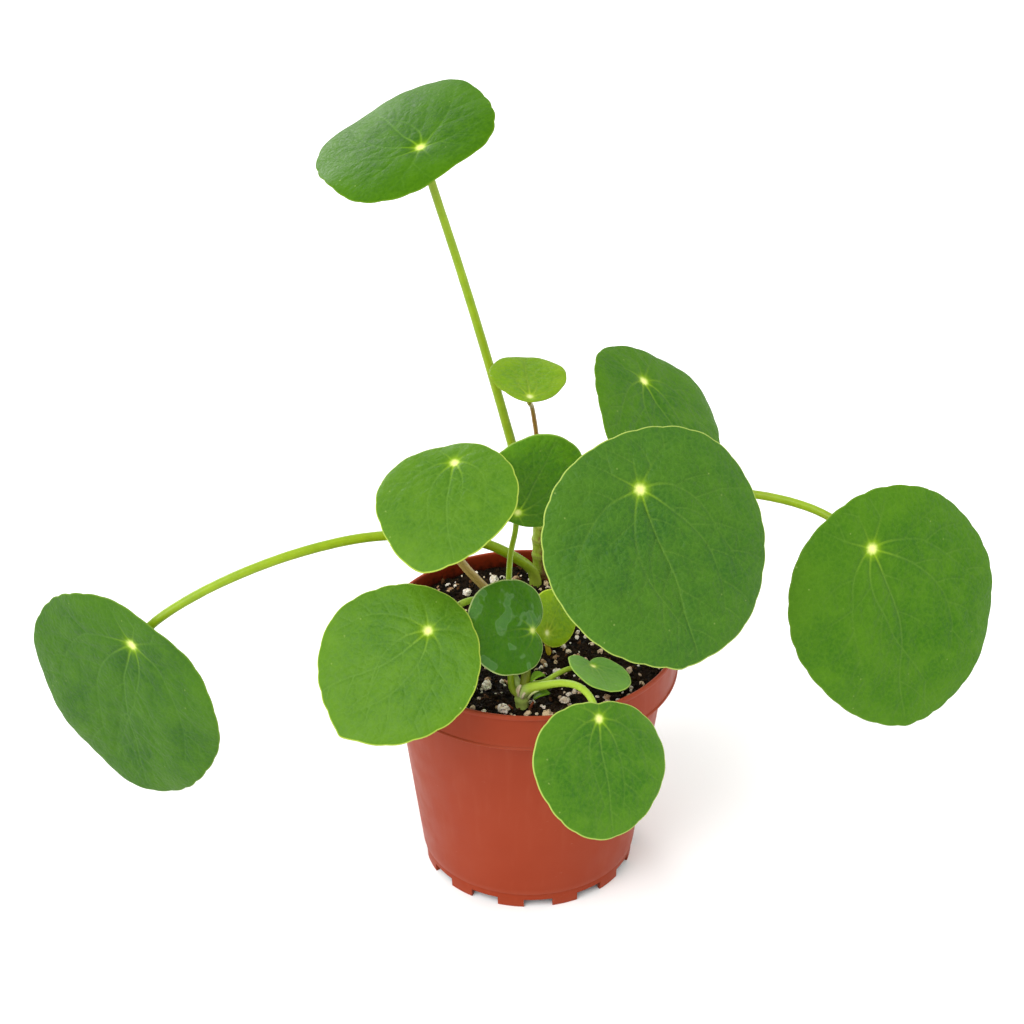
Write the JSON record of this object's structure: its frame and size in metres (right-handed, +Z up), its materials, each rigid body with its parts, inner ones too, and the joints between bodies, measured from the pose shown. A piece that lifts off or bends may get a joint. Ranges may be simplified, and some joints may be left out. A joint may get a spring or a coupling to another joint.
{
  "type": "potted pilea plant",
  "caption": "Round-leaved pilea house plant with long arching leaf stalks, growing in a tapered terracotta-coloured nursery pot.",
  "frame": {"origin": "centre of the pot's underside, on the surface that the pot stands on", "axes": "+Z up, +X to the right of somebody facing the plant and along its longest spread, -Y to the front that most leaves face"},
  "size_m": [0.3385, 0.1592, 0.2717],
  "materials": {
    "terracotta_plastic": "satin moulded polypropylene, terracotta colour",
    "potting_soil": "damp dark potting mix",
    "stem_bark": "green stem with brown leaf scars",
    "pup_stem": "pale green, smooth",
    "leaf_green": "semi-gloss fleshy leaf with pale veins",
    "leaf_yellow_green": "semi-gloss young leaf, yellow green",
    "stalk_green": "smooth yellow-green stalk",
    "stalk_tan": "smooth tan stalk",
    "bud_green": "small green buds and leaflet",
    "perlite": "matt porous white grains"
  },
  "bodies": {
    "root": {"back_right_leaf_blade": "leaf_green", "back_right_leaf_stalk": "stalk_green", "big_front_leaf_blade": "leaf_green", "big_front_leaf_stalk": "stalk_green", "centre_leaf_blade": "leaf_green", "centre_leaf_stalk": "stalk_green", "crown_leaf_blade": "leaf_yellow_green", "crown_leaf_stalk": "stalk_green", "far_left_leaf_blade": "leaf_green", "far_left_leaf_stalk": "stalk_green", "far_right_leaf_blade": "leaf_green", "far_right_leaf_stalk": "stalk_green", "low_leaflet": "bud_green", "low_left_leaf_blade": "leaf_green", "low_left_leaf_stalk": "stalk_green", "main_stem": "stem_bark", "mid_left_leaf_blade": "leaf_green", "mid_left_leaf_stalk": "stalk_tan", "perlite_stone_01": "perlite", "perlite_stone_02": "perlite", "perlite_stone_03": "perlite", "perlite_stone_04": "perlite", "perlite_stone_05": "perlite", "perlite_stone_06": "perlite", "perlite_stone_07": "perlite", "perlite_stone_08": "perlite", "perlite_stone_09": "perlite", "perlite_stone_10": "perlite", "perlite_stone_11": "perlite", "perlite_stone_12": "perlite", "pot": "terracotta_plastic", "pot_front_leaf_blade": "leaf_green", "pot_front_leaf_stalk": "stalk_green", "potting_soil": "potting_soil", "pup_bud": "bud_green", "pup_stem": "pup_stem", "stem_foot_bud": "bud_green", "tall_leaf_blade": "leaf_green", "tall_leaf_stalk": "stalk_green", "upright_leaf_blade": "leaf_green", "upright_leaf_stalk": "stalk_green", "yellow_leaf_blade": "leaf_yellow_green", "yellow_leaf_stalk": "stalk_green", "young_leaf_blade": "leaf_green", "young_leaf_stalk": "stalk_green"}
  },
  "joints": []
}
